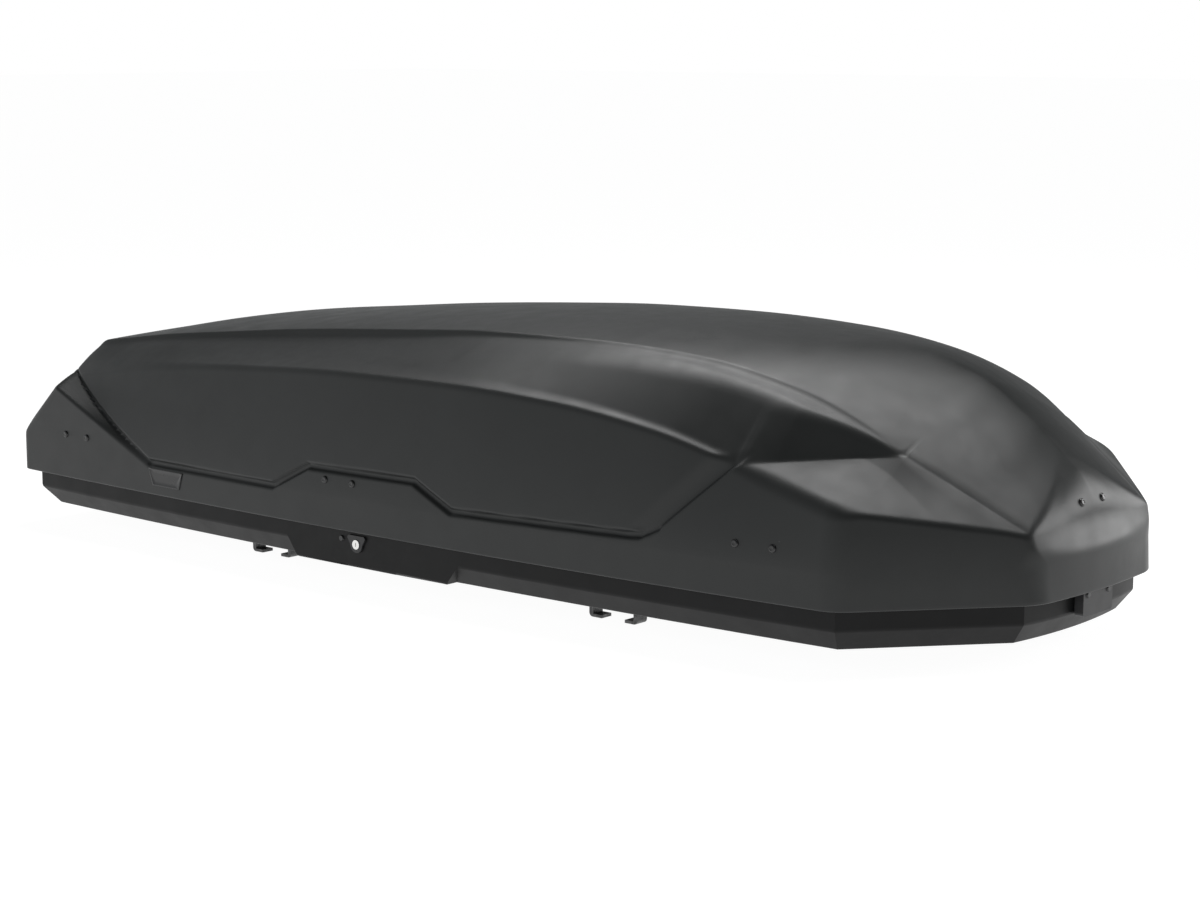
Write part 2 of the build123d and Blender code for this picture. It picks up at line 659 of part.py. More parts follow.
def make_clamp(name, x, y):
    with BuildPart() as carriage:
        half_x, half_y = CARRIAGE_HALF
        block(x - half_x, x + half_x, y - half_y, y + half_y, *CARRIAGE_Z)
        fillet(carriage.edges().filter_by(Axis.Z), 9)
        chamfer(carriage.faces().sort_by(Axis.Z)[-1].edges(), 2.5)
        block(x - 56, x + 56, y - 15.3, y + 15.3, SLIDER_Z[0] - 0.3, SLIDER_Z[1] + 0.3,
              Mode.SUBTRACT)
        for end in (1, -1):
            block(x + end * 20, x + end * 52, y - JAW_HALF - 0.3, y + JAW_HALF + 0.3,
                  CARRIAGE_Z[0], SLIDER_Z[0], Mode.SUBTRACT)
        rod_z(SLIDER_Z[1], CARRIAGE_Z[1] + 1, x, y, 8.3, Mode.SUBTRACT)
    save(carriage, f"clamp_carriage_{name}")

    with BuildPart() as knob:
        rod_z(SLIDER_Z[1] + 0.6, CARRIAGE_Z[1] + 1, x, y, 8)
        with BuildSketch(Plane.XY.offset(CARRIAGE_Z[1] + 1)):
            with Locations((x, y)):
                Circle(KNOB_R)
                with PolarLocations(KNOB_R + 4, 8):
                    Circle(8, mode=Mode.SUBTRACT)
        extrude(amount=20)
        chamfer(knob.faces().sort_by(Axis.Z)[-1].edges(), 1.5)
        block(x - 20, x + 20, y - 3, y + 3, CARRIAGE_Z[1] + 21, CARRIAGE_Z[1] + 27)
    save(knob, f"clamp_knob_{name}")

    for end, jaw_name in ((1, "front"), (-1, "rear")):
        with BuildPart() as jaw:
            leg = (x + end * JAW_LEG_X, x + end * (JAW_LEG_X + JAW_LEG_THICK))
            hook_tip = x + end * 24
            block(x + end * 24, leg[1], y - 15, y + 15, *SLIDER_Z)
            block(*leg, y - JAW_HALF, y + JAW_HALF, 0, SLIDER_Z[0])
            block(hook_tip, leg[0], y - JAW_HALF, y + JAW_HALF, 0, 5)
            outer_edge = jaw.edges().filter_by(Axis.Y).group_by(Axis.Z)[0].sort_by(Axis.X)
            fillet(outer_edge[-1] if end > 0 else outer_edge[0], 7)
        save(jaw, f"clamp_{jaw_name}_jaw_{name}")

    with BuildPart() as pad:
        block(x - 78, x + 78, y - 24, y + 24, *PAD_Z)
        fillet(pad.edges().filter_by(Axis.Z), 8)
        for end in (1, -1):
            block(x + end * 19, x + end * 54, y - JAW_HALF - 1, y + JAW_HALF + 1,
                  PAD_Z[0] - 1, PAD_Z[1] + 1, Mode.SUBTRACT)
        block(x - 15, x + 15, y - 11, y + 11, PAD_Z[1], CARRIAGE_Z[0])
    save(pad, f"bar_pad_{name}")


def make_clamps():
    for end, x in CLAMP_XS.items():
        for side_name, side in SIDES.items():
            make_clamp(f"{end}_{side_name}", x, side * CLAMP_Y)


os.makedirs("parts", exist_ok=True)
make_lid_shell()
make_base_tub()
make_base_rails()
make_floor_braces()
make_latch_saddles()
make_hinge_pins()
make_hinge_arms()
make_lock_bars()
make_lock_sleeves()
make_lock_bar_guides()
make_locks()
make_nose_guide()
make_lid_rivets()
make_base_screws()
make_lid_stiffeners()
make_badges()
make_lifters()
make_clamps()
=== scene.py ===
"""Looks of the roof cargo box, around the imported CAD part. Lengths are millimetres, meshes are metres."""

import json
import math

import bmesh
import bpy
import numpy as np
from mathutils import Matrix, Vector


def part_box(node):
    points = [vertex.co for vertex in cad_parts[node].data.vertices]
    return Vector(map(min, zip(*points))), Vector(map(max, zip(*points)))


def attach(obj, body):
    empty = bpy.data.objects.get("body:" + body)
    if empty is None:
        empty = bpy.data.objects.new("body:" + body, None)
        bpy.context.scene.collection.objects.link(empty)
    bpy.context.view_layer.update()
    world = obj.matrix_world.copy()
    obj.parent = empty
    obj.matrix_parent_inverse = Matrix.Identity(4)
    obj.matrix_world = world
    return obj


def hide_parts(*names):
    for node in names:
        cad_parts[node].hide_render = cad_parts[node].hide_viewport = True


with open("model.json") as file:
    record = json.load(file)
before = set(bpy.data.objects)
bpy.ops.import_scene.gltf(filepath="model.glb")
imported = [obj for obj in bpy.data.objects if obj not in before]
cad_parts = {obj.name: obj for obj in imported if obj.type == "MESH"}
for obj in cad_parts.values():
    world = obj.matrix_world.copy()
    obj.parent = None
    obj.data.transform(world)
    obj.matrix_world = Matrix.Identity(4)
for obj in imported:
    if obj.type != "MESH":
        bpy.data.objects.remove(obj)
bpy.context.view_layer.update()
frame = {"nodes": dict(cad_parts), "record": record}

MM = 0.001
LID_LOW, LID_HIGH = (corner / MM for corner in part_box("lid_shell"))

# ---------------------------------------------------------------- lid shape
RIM_Z = round(LID_LOW.z, 1)
HALF_LENGTH = round(LID_HIGH.x, 1)
RIM_ROUND = 3.0
LID_WALL = 3.5

# The rim in plan is widest at WIDEST_X and draws in along a parabola towards each end.
WIDEST_X = -7.0
HALF_WIDTH = 430.0
TAIL_TAPER, TAIL_RUN = 33.0, 1013.0
NOSE_TAPER, NOSE_RUN = 30.0, 845.0
# The side panel leans inwards above LEAN_Z.
LEAN_Z = 155.0
LEAN_POWER = 1.4
PANEL_ROUND = 18.0

# The panel's top ridge and the crown's edge from tail to nose: x, distance from the middle plane, height.
RIDGE = [
    (-1050, 322, 272), (-957, 340, 288), (-870, 352, 301), (-673, 371, 326), (-440, 385, 346),
    (-154, 395, 360), (77, 396, 362), (290, 390, 353), (485, 386, 330), (645, 382, 293),
    (838, 388, 243), (1050, 396, 190),
]
CROWN_EDGE = [
    (-1050, 292, 300), (-930, 292, 345), (-850, 288, 356), (-754, 280, 369), (-600, 264, 384),
    (-430, 252, 400), (-180, 250, 418), (53, 250, 432), (271, 250, 434.5), (475, 248, 425),
    (667, 250, 392), (759, 248, 360), (850, 235, 309), (913, 212, 272), (980, 188, 232),
    (1024, 172, 206), (1060, 159, 185),
]
# The roof on the middle plane: x, height.
ROOF_LINE = [
    (-1050, 306), (-930, 352), (-860, 367), (-790, 380), (-700, 392), (-520, 410), (-300, 431),
    (-100, 445), (100, 455), (240, 457), (380, 456), (540, 450), (620, 446), (700, 438), (780, 419),
    (838, 396), (880, 370), (930, 335), (970, 301), (1005, 272), (1022, 257), (1040, 240), (1060, 222),
]
# Height of the small riser at the crown's edge, and the rounding of that edge: x, value.
CROWN_RISER = [(-1050, 8), (-500, 10), (-200, 9), (60, 5), (260, 3.5), (760, 3), (850, 1), (1050, 0)]
CROWN_ROUND = [(-1050, 5), (-300, 4), (780, 4), (870, 7), (1050, 10)]
RISER_RUN = 4.0
# Exponent of the roof's fall from the middle to the crown's edge: x, value.
CROWN_POWER = [(-1050, 2.2), (500, 2.2), (850, 1.35), (1050, 1.35)]
# Slope of the crown where it runs out past its edge.
CROWN_RUNOUT = 0.2
LEAST_REACH = 5.0

# At the rear the shoulder is one curve. At the front it falls gently over a band below the crown, then
# steeply, and flattens to a bead at the ridge. It changes from one to the other over SHOULDER_CHANGE.
REAR_POWER = 1.5
BAND_WIDTH = [(-1050, 0), (-300, 0), (60, 14), (300, 30), (500, 38), (700, 40), (850, 30)]
BAND_SLOPE, BAND_SHARE, BAND_ROUND = 0.3, 0.42, 12.0
BEAD_WIDTH, BEAD_SLOPE, BEAD_ROUND = 9.0, 0.22, 5.0
LEAST_FALL_RUN = 2.0
SHOULDER_CHANGE = (-800.0, -350.0)
FOOT_DROP = 3.0

# The raised block at the front: its corners on the panel ridge, the facet's top, the nose and the crown.
BLOCK_A = (645.0, 381.0, 293.0)
BLOCK_D = (838.0, 388.0, 243.0)
BLOCK_C = (1024.0, 172.0, 206.0)
BLOCK_P = (850.0, 235.0, 309.0)
BLOCK_START = (BLOCK_A[0] - 10, BLOCK_A[0] + 12)
BLOCK_SIDE_SLOPE, BLOCK_ROUND, BLOCK_LEAST_RUN = 2.2, 5.0, 20.0
# Slope of the block's top from its outer edge up to the crown, and how softly its edge turns at corner D.
BLOCK_SLOPE, BLOCK_INNER_RISE = 0.45, 0.5
BLOCK_TURN, BLOCK_TURN_GROWTH, BLOCK_TURN_MOST = 8.0, 0.8, 100.0
# The bead sinks below the block, and the shoulder sinks below it once past corner P.
BEAD_SINK, SHOULDER_SINK = 80.0, 60.0
SHOULDER_END = (BLOCK_P[0] + 2, BLOCK_P[0] + 14)

# The upright front facets turn at FACET_AT: the lower one stands up, the upper one leans back above the lip.
FACET_AT = (838.0, 400.0)
FACET_LOW = (0.758, 0.652)
FACET_HIGH = (0.752, 0.647, 0.13)
FACET_ROUND = 6.0

# The nose: an upright lip, a bevelled shelf above it and the hood standing behind a crease.
LIP_Z, SHELF_Z, SHELF_RISE = 169.0, 200.0, 6.0
CREASE_X, CREASE_SAG = 1033.0, 9.0
NOSE_SAG, NOSE_HALF = 16.0, 172.0
SHELF_LEAN, HOOD_LEAN = 0.87, 0.14
NOSE_ROUND = 5.0
HOOD_ROUND, HOOD_ROUND_SIDE = 30.0, 6.0

# Rounding between the top and the wall: its base, what it gains ahead of the panel, what it loses at the
# facet, and what it gains low on the nose, each with the stretch over which it changes.
EDGE_ROUND = 9.0
PANEL_END_GAIN, PANEL_END = 8.0, (600.0, 720.0)
FACET_LOSS, FACET_START = 11.0, (825.0, 865.0)
LOW_NOSE_GAIN, LOW_NOSE_X, LOW_NOSE_Z = 10.0, (960.0, 1000.0), (150.0, 185.0)

# The tail: an upright lip, then a slope and a corner plane, each given by its normal.
TAIL_LIP_Z = 173.0
TAIL_SLOPE = (-177 / 213.8, 120 / 213.8)
TAIL_LIP_ROUND, TAIL_ROUND = 6.0, 12.0
CORNER = (-0.601, 0.441, 0.664)
CORNER_AT = (-1050.0, 394.0)
CORNER_ROUND = 7.0

# The styling line pressed into the side: x, height, and the groove's half width, edge rounding and depth.
GROOVE_PATH = [
    (-655, 158), (-316, 157), (-229, 200), (21, 202), (107, 163), (465, 171), (492, 173), (525, 189),
]
GROOVE_HALF, GROOVE_EDGE, GROOVE_DEPTH = 4.6, 3.0, 7.0
# The tail's ledge lies between an upright triangle and the leaning panel.
REAR_PANEL_EDGE = ((-955, 290), (-650, 158))
REAR_TRIANGLE_EDGE = ((-941, 269), (-656, 149))
REAR_FADE = (640.0, 662.0)
# The front step starts softly behind and ends in a sharp edge, and fades out at its lower rear end.
FRONT_SOFT_EDGE = ((595, 300), (462, 176))
FRONT_STEP_EDGE = ((652, 300), (521, 184))
FRONT_FADE_Z, FRONT_FADE_X = (172.0, 186.0), (455.0, 480.0)
SOFT_LEAD = -0.1
# A step is STEP_WIDTH wide, and grows from the groove's depth to its own with height.
STEP_LEAD, STEP_WIDTH, STEP_DEPTH = -1.0, 4.5, 10.0
FRONT_DEPTH_Z, REAR_DEPTH_Z = (180.0, 290.0), (160.0, 260.0)
LEAST_WIDTH = 8.0


def monotone(points):
    """Returns a function through the points that is smooth and has no overshoot."""
    knots = np.array(points, float)
    xs, ys = knots[:, 0], knots[:, 1]
    run = np.diff(xs)
    slope = np.diff(ys) / run
    tangent = np.zeros(len(xs))
    same = slope[:-1] * slope[1:] > 0
    weight_a = 2 * run[1:] + run[:-1]
    weight_b = run[1:] + 2 * run[:-1]
    with np.errstate(divide="ignore", invalid="ignore"):
        mean = (weight_a + weight_b) / (weight_a / slope[:-1] + weight_b / slope[1:])
    tangent[1:-1] = np.where(same, mean, 0)
    tangent[0], tangent[-1] = slope[0], slope[-1]

    def value(x):
        x = np.clip(x, xs[0], xs[-1])
        i = np.clip(np.searchsorted(xs, x) - 1, 0, len(run) - 1)
        t = (x - xs[i]) / run[i]
        return (
            ys[i] * (1 + 2 * t) * (1 - t) ** 2
            + tangent[i] * run[i] * t * (1 - t) ** 2
            + ys[i + 1] * t * t * (3 - 2 * t)
            + tangent[i + 1] * run[i] * t * t * (t - 1)
        )

    return value


ridge_y = monotone([(x, y) for x, y, z in RIDGE])
ridge_z = monotone([(x, z) for x, y, z in RIDGE])
crown_y = monotone([(x, y) for x, y, z in CROWN_EDGE])
crown_z = monotone([(x, z) for x, y, z in CROWN_EDGE])
roof_z = monotone(ROOF_LINE)
band_width = monotone(BAND_WIDTH)
crown_riser = monotone(CROWN_RISER)
crown_round = monotone(CROWN_ROUND)
crown_power = monotone(CROWN_POWER)


def both(a, b, k):
    """Where both sheets bound the solid: the larger value, rounded over k."""
    h = np.maximum(k - np.abs(a - b), 0)
    return np.maximum(a, b) + h * h / (4 * k)


def either(a, b, k):
    """Where either sheet may hold material: the smaller value, filleted over k."""
    h = np.maximum(k - np.abs(a - b), 0)
    return np.minimum(a, b) - h * h / (4 * k)


def ramp(x, low, high):
    """Zero below low, one above high, and smooth in between."""
    t = np.clip((x - low) / (high - low), 0, 1)
    return t * t * (3 - 2 * t)


def rim_half_width(x):
    """Distance of the rim from the middle plane."""
    tail = TAIL_TAPER * ((x - WIDEST_X) / TAIL_RUN) ** 2
    nose = NOSE_TAPER * ((x - WIDEST_X) / NOSE_RUN) ** 2
    return HALF_WIDTH - np.where(x < WIDEST_X, tail, nose)


def past_line(x, z, line):
    """Signed distance from a line in the side view, positive towards the nose."""
    (x0, z0), (x1, z1) = line
    length = math.hypot(x1 - x0, z1 - z0)
    return ((x - x0) * (z0 - z1) + (z - z0) * (x1 - x0)) / length


def ledge_share(x, z):
    """Zero on the tail's upright triangle, one on the leaning panel, in between on the ledge joining them."""
    above_triangle = past_line(x, z, REAR_TRIANGLE_EDGE)
    gap = np.maximum(above_triangle - past_line(x, z, REAR_PANEL_EDGE), LEAST_WIDTH)
    return np.clip(above_triangle / gap, 0, 1)


def groove(x, z):
    """Depth of the groove that runs along the styling line."""
    far = np.full_like(x, np.inf)
    for (x0, z0), (x1, z1) in zip(GROOVE_PATH, GROOVE_PATH[1:]):
        run, rise = x1 - x0, z1 - z0
        t = np.clip(((x - x0) * run + (z - z0) * rise) / (run * run + rise * rise), 0, 1)
        far = np.minimum(far, np.hypot(x - x0 - t * run, z - z0 - t * rise))
    return GROOVE_DEPTH * (1 - ramp(far, GROOVE_HALF - GROOVE_EDGE / 2, GROOVE_HALF + GROOVE_EDGE))


def step_depth(z, heights):
    """Depth of a step, which grows with height."""
    return GROOVE_DEPTH + (STEP_DEPTH - GROOVE_DEPTH) * ramp(z, *heights)


def rear_step(x, z):
    """Depth of the wedge along the rear end of the panel."""
    wedge = ledge_share(x, z) * (1 - ramp(past_line(x, z, REAR_PANEL_EDGE), STEP_LEAD, STEP_WIDTH))
    return step_depth(z, REAR_DEPTH_Z) * wedge * ramp(-x, *REAR_FADE)


def front_step(x, z):
    """Depth of the slope that sinks towards the front end of the panel and stops at a step."""
    past_soft = past_line(x, z, FRONT_SOFT_EDGE)
    past_step = past_line(x, z, FRONT_STEP_EDGE)
    width = np.maximum(past_soft - past_step, LEAST_WIDTH)
    slope = ramp(past_soft / width, SOFT_LEAD, 1.0) * (1 - ramp(past_step, STEP_LEAD, STEP_WIDTH))
    return step_depth(z, FRONT_DEPTH_Z) * slope * ramp(z, *FRONT_FADE_Z) * ramp(x, *FRONT_FADE_X)


def recess(x, z):
    """Depth of all that is pressed into the side."""
    return np.maximum(np.maximum(groove(x, z), rear_step(x, z)), front_step(x, z))


def block_sheet(x, y):
    """The block's two planes behind and ahead of corner D, turning more softly the further inwards."""
    (ax, ay, az), (dx, dy, dz), (cx, cy, cz) = BLOCK_A, BLOCK_D, BLOCK_C
    turn = np.clip(BLOCK_TURN + BLOCK_TURN_GROWTH * (dy - y), BLOCK_TURN, BLOCK_TURN_MOST)
    ahead = both(x - dx, 0, turn)
    behind = x - dx - ahead
    edge_z = dz + behind * (dz - az) / (dx - ax) + ahead * (cz - dz) / (cx - dx)
    edge_y = dy + behind * (dy - ay) / (dx - ax) + ahead * (cy - dy) / (cx - dx)
    return edge_z + BLOCK_SLOPE * (edge_y - y), edge_y


def line_a_p(x):
    """The line from the block's corner A to corner P: distance from the middle plane and height."""
    (ax, ay, az), (px, py, pz) = BLOCK_A, BLOCK_P
    share = (x - ax) / (px - ax)
    return ay + share * (py - ay), az + share * (pz - az)


def block_top(x, y):
    """Height of the raised block, which meets the line A-P and the crown's edge exactly."""
    (ax, ay, _), (px, py, _) = BLOCK_A, BLOCK_P
    rear_y, rear_z = line_a_p(x)
    line_y = np.where(x < px, rear_y, crown_y(x))
    line_z = np.where(x < px, rear_z, crown_z(x))
    sheet, edge_y = block_sheet(x, y)
    missing = line_z - block_sheet(x, line_y)[0]
    across = np.clip((edge_y - y) / np.maximum(edge_y - line_y, BLOCK_LEAST_RUN), 0, 1)
    run, rise = px - ax, py - ay
    behind = np.maximum(((x - ax) * rise - (y - ay) * run) / math.hypot(run, rise), 0)
    inner = BLOCK_INNER_RISE * np.maximum(line_y - y, 0)
    return sheet + missing * across**2 + np.where(x < px, -BLOCK_SIDE_SLOPE * behind, inner)


def shoulder_foot(x):
    """Where the shoulder ends: on the ridge, then on the block's line A-P, then just outside the crown."""
    line_y, line_z = line_a_p(x)
    behind_block = x < BLOCK_A[0]
    foot_y = np.where(behind_block, ridge_y(x), np.maximum(line_y, crown_y(x) + FOOT_DROP / 2))
    foot_z = np.where(behind_block, ridge_z(x), np.minimum(line_z, crown_z(x) - FOOT_DROP))
    return foot_y, foot_z


def crown_top(x, y):
    """Height of the crowned roof, which falls by a power curve to its edge and runs out past it."""
    edge_y, roof = crown_y(x), roof_z(x)
    drop = np.maximum(roof - crown_z(x), 0)
    inner = roof - drop * np.minimum(y / edge_y, 1) ** crown_power(x)
    return inner - CROWN_RUNOUT * np.maximum(y - edge_y, 0)


def shoulder_top(x, y):
    """Height of the shoulder between the crown's edge and the panel's ridge."""
    past = y - crown_y(x)
    riser = crown_riser(x)
    start = crown_z(x) - riser
    foot_y, foot_z = shoulder_foot(x)
    reach = np.maximum(foot_y - crown_y(x), LEAST_REACH)
    past_foot = np.maximum(y - foot_y, 0)

    across = past / reach
    rear_share = np.where(across < 0, 1 - across, 1 - np.clip(across, 0, 1) ** REAR_POWER)
    rear = foot_z + (start - foot_z) * rear_share - BEAD_SLOPE * past_foot

    on_block = ramp(x, *BLOCK_START)
    bead = BEAD_WIDTH * (1 - on_block)
    band = np.minimum(band_width(x), BAND_SHARE * reach)
    fall = (start - BAND_SLOPE * band - foot_z) / np.maximum(reach - band - bead, LEAST_FALL_RUN)
    steep = foot_z + fall * (foot_y - bead - y) - BLOCK_SIDE_SLOPE * on_block * past_foot
    front = either(start - BAND_SLOPE * past, steep, BAND_ROUND)
    front = both(front, foot_z + BEAD_SLOPE * (foot_y - y) - BEAD_SINK * on_block, BEAD_ROUND)

    shoulder = rear + (front - rear) * ramp(x, *SHOULDER_CHANGE)
    shoulder = shoulder - SHOULDER_SINK * ramp(x, *SHOULDER_END)
    lift = np.where(past > 0, np.exp(-np.clip(past, 0, None) / RISER_RUN), 1 - past / RISER_RUN)
    return shoulder + riser * lift


def top_height(x, y):
    """Height of the lid's upper surface over the plan."""
    outer = -either(-shoulder_top(x, y), -block_top(x, y), BLOCK_ROUND)
    return either(crown_top(x, y), outer, crown_round(x))


def wall_field(x, y, z):
    """Negative inside the side panel and the upright facets at the front corner."""
    wide = rim_half_width(x)
    share = (np.maximum(z - LEAN_Z, 0) / (ridge_z(x) - LEAN_Z)) ** LEAN_POWER
    lean = (wide - ridge_y(x)) * share * (1 - (1 - ledge_share(x, z)) * ramp(-x, *REAR_FADE))
    side = y - (wide - lean - recess(x, z))
    ahead, out = x - FACET_AT[0], y - FACET_AT[1]
    facet_low = FACET_LOW[0] * ahead + FACET_LOW[1] * out
    facet_high = FACET_HIGH[0] * ahead + FACET_HIGH[1] * out + FACET_HIGH[2] * (z - LIP_Z)
    return both(side, both(facet_low, facet_high, FACET_ROUND), PANEL_ROUND)


def nose_field(x, y, z):
    """Negative inside the nose and below the lid's top."""
    aside = y / NOSE_HALF
    arc = HALF_LENGTH - NOSE_SAG * aside**2
    crease = CREASE_X - CREASE_SAG * aside**2
    crease_z = SHELF_Z + SHELF_RISE * aside**2
    shelf = x - (arc - (arc - crease) * (z - LIP_Z) / (crease_z - LIP_Z))
    lip = both(x - arc, shelf * SHELF_LEAN, NOSE_ROUND)
    hood = x - (crease - HOOD_LEAN * (z - crease_z))
    hood_round = HOOD_ROUND + (HOOD_ROUND_SIDE - HOOD_ROUND) * np.clip(aside, 0, 1) ** 2
    top = z - top_height(x, y)
    return either(both(lip, top, NOSE_ROUND), both(hood, top, hood_round), NOSE_ROUND)


def edge_round(x, z):
    """Rounding between the lid's top and its wall."""
    low_nose = (1 - ramp(z, *LOW_NOSE_Z)) * ramp(x, *LOW_NOSE_X)
    rounding = EDGE_ROUND + PANEL_END_GAIN * ramp(x, *PANEL_END) - FACET_LOSS * ramp(x, *FACET_START)
    return rounding + LOW_NOSE_GAIN * low_nose


def lid_field(x, y, z):
    """Negative inside the lid's outer skin."""
    field = both(nose_field(x, y, z), wall_field(x, y, z), edge_round(x, z))
    slope = TAIL_SLOPE[0] * (x + HALF_LENGTH) + TAIL_SLOPE[1] * (z - TAIL_LIP_Z)
    tail = both(-x - HALF_LENGTH, slope, TAIL_LIP_ROUND)
    corner = CORNER[0] * (x - CORNER_AT[0]) + CORNER[1] * (y - CORNER_AT[1])
    corner = corner + CORNER[2] * np.maximum(z - TAIL_LIP_Z, 0)
    field = both(both(field, tail, TAIL_ROUND), corner, CORNER_ROUND)
    low = np.clip(RIM_Z + RIM_ROUND - z, 0, RIM_ROUND)
    return field + RIM_ROUND - np.sqrt(RIM_ROUND**2 - low * low)


CAST_REACH, CAST_HALVINGS = 760.0, 22


def cast(start_x, start_z, dir_x, dir_y, dir_z):
    """Distance along rays from the middle plane to the lid's outer skin."""
    near = np.zeros_like(dir_x)
    far = np.full_like(dir_x, CAST_REACH)
    for _ in range(CAST_HALVINGS):
        half = (near + far) / 2
        inside = lid_field(start_x + dir_x * half, dir_y * half, start_z + dir_z * half) < 0
        near = np.where(inside, half, near)
        far = np.where(inside, far, half)
    return (near + far) / 2


def skirt_y(x, z):
    """Distance of the side skin from the middle plane."""
    one = np.ones(1)
    return float(cast(x * one, z * one, 0 * one, one, 0 * one)[0])


# ---------------------------------------------------------------- mesh helpers
WELD_GAP = 0.02


def new_piece(name, points, faces, material, smooth=True):
    """An object from points in millimetres and faces."""
    mesh = bpy.data.meshes.new(name)
    mesh.from_pydata((np.asarray(points, float) * MM).tolist(), [], faces)
    mesh.validate()
    mesh.update()
    if smooth:
        mesh.shade_smooth()
    mesh.materials.append(material)
    piece = bpy.data.objects.new(name, mesh)
    bpy.context.scene.collection.objects.link(piece)
    return piece


def lid_piece(name, points, faces, look, node):
    """A piece that rides on the lid, carries one look and replaces one CAD node."""
    piece = new_piece(name, points, faces, looks[look])
    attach(piece, "lid")
    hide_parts(node)
    return piece


def weld(piece):
    """Joins doubled points, drops faces without area and turns all faces outwards."""
    work = bmesh.new()
    work.from_mesh(piece.data)
    bmesh.ops.remove_doubles(work, verts=work.verts, dist=WELD_GAP * MM)
    bmesh.ops.dissolve_degenerate(work, edges=work.edges, dist=WELD_GAP * MM / 2)
    bmesh.ops.recalc_face_normals(work, faces=work.faces)
    work.to_mesh(piece.data)
    work.free()
    piece.data.shade_smooth()


def grid_faces(rows, columns, offset=0, flip=False):
    """Four-sided faces between the points of a grid."""
    index = np.arange(rows * columns).reshape(rows, columns) + offset
    corners = [index[:-1, :-1], index[:-1, 1:], index[1:, 1:], index[1:, :-1]]
    quads = np.stack(corners, -1).reshape(-1, 4)
    return (quads[:, ::-1] if flip else quads).tolist()


def ring_faces(rings, count):
    """Four-sided faces between closed rings of points."""
    faces = []
    for ring in range(rings - 1):
        for i in range(count):
            a, b = ring * count + i, ring * count + (i + 1) % count
            faces.append([a, b, b + count, a + count])
    return faces


# ---------------------------------------------------------------- materials
# The stretch of values that a noise texture mostly fills.
NOISE_LOW, NOISE_HIGH = 0.3, 0.7


def shade(colour, factor):
    """A colour made darker or lighter."""
    return tuple(channel * factor for channel in colour)


class Look:
    """Builds one procedural material on Principled BSDF."""

    def __init__(self, name, base, roughness, metallic=0.0, specular=0.5, coat=0.0):
        self.material = bpy.data.materials.new(name)
        self.material.use_nodes = True
        self.tree = self.material.node_tree
        self.shader = self.tree.nodes["Principled BSDF"]
        self.shader.inputs["Metallic"].default_value = metallic
        self.shader.inputs["Specular IOR Level"].default_value = specular
        self.shader.inputs["Coat Weight"].default_value = coat
        self.shader.inputs["Coat Roughness"].default_value = 0.25
        self.base, self.roughness = base, roughness
        self.place = self.node("ShaderNodeTexCoord").outputs["Object"]

    def feed(self, socket, value):
        """Links a socket to another one, or sets its value, with full opacity where it is a colour."""
        if isinstance(value, bpy.types.NodeSocket):
            self.tree.links.new(value, socket)
        elif socket.type == "RGBA":
            socket.default_value = (*value, 1)
        else:
            socket.default_value = value

    def node(self, kind, **inputs):
        made = self.tree.nodes.new(kind)
        for key, value in inputs.items():
            self.feed(made.inputs[key], value)
        return made

    def stretched(self, scale):
        return self.node("ShaderNodeMapping", Vector=self.place, Scale=scale).outputs["Vector"]

    def noise(self, scale, detail=3.0, roughness=0.55, stretch=None):
        place = self.stretched(stretch) if stretch else self.place
        made = self.node("ShaderNodeTexNoise", Vector=place, Scale=scale, Detail=detail, Roughness=roughness)
        return made.outputs["Fac"]

    def cells(self, scale):
        return self.node("ShaderNodeTexVoronoi", Vector=self.place, Scale=scale).outputs["Distance"]

    def spread(self, value, low, high, out_low, out_high):
        """Maps a value from one stretch to another."""
        made = self.tree.nodes.new("ShaderNodeMapRange")
        for socket, given in zip(made.inputs, (value, low, high, out_low, out_high)):
            self.feed(socket, given)
        return made.outputs["Result"]

    def math(self, operation, a, b):
        made = self.tree.nodes.new("ShaderNodeMath")
        made.operation = operation
        for socket, value in zip(made.inputs, (a, b)):
            self.feed(socket, value)
        return made.outputs[0]

    def clouded(self, cloud, low, high):
        """The base colour, varied softly between two shades of it."""
        factor = self.spread(cloud, NOISE_LOW, NOISE_HIGH, 0.0, 1.0)
        made = self.node("ShaderNodeValToRGB", Fac=factor)
        made.color_ramp.elements[0].color = (*shade(self.base, low), 1)
        made.color_ramp.elements[1].color = (*shade(self.base, high), 1)
        return made.outputs["Color"]

    def uneven(self, value, less, more):
        """The roughness, varied by a noise from less below it to more above it."""
        return self.spread(value, NOISE_LOW, NOISE_HIGH, self.roughness - less, self.roughness + more)

    def mix(self, factor, a, b):
        """Two colours mixed: the node keeps its colour sockets after those of its other data types."""
        made = self.tree.nodes.new("ShaderNodeMix")
        made.data_type = "RGBA"
        for socket, value in zip((made.inputs[0], made.inputs[6], made.inputs[7]), (factor, a, b)):
            self.feed(socket, value)
        return made.outputs[2]

    def worn_edges(self, amount, low=0.53, high=0.6):
        """How far an edge is rubbed, broken up by a noise."""
        point = self.node("ShaderNodeNewGeometry").outputs["Pointiness"]
        edge = self.spread(point, low, high, 0.0, 1.0)
        rubbed = self.math("MULTIPLY", edge, self.spread(self.noise(90.0, 4.0), 0.45, 0.65, 0.0, 1.0))
        return self.math("MULTIPLY", rubbed, amount)

    def finish(self, colour, roughness, bumps):
        """Sets colour, roughness and a chain of bumps, each a height, a strength and a depth in metres."""
        self.tree.links.new(colour, self.shader.inputs["Base Color"])
        self.tree.links.new(roughness, self.shader.inputs["Roughness"])
        normal = None
        for height, strength, depth in bumps:
            bump = self.node("ShaderNodeBump", Height=height, Strength=strength, Distance=depth)
            if normal is not None:
                self.tree.links.new(normal, bump.inputs["Normal"])
            normal = bump.outputs["Normal"]
        self.tree.links.new(normal, self.shader.inputs["Normal"])
        return self.material


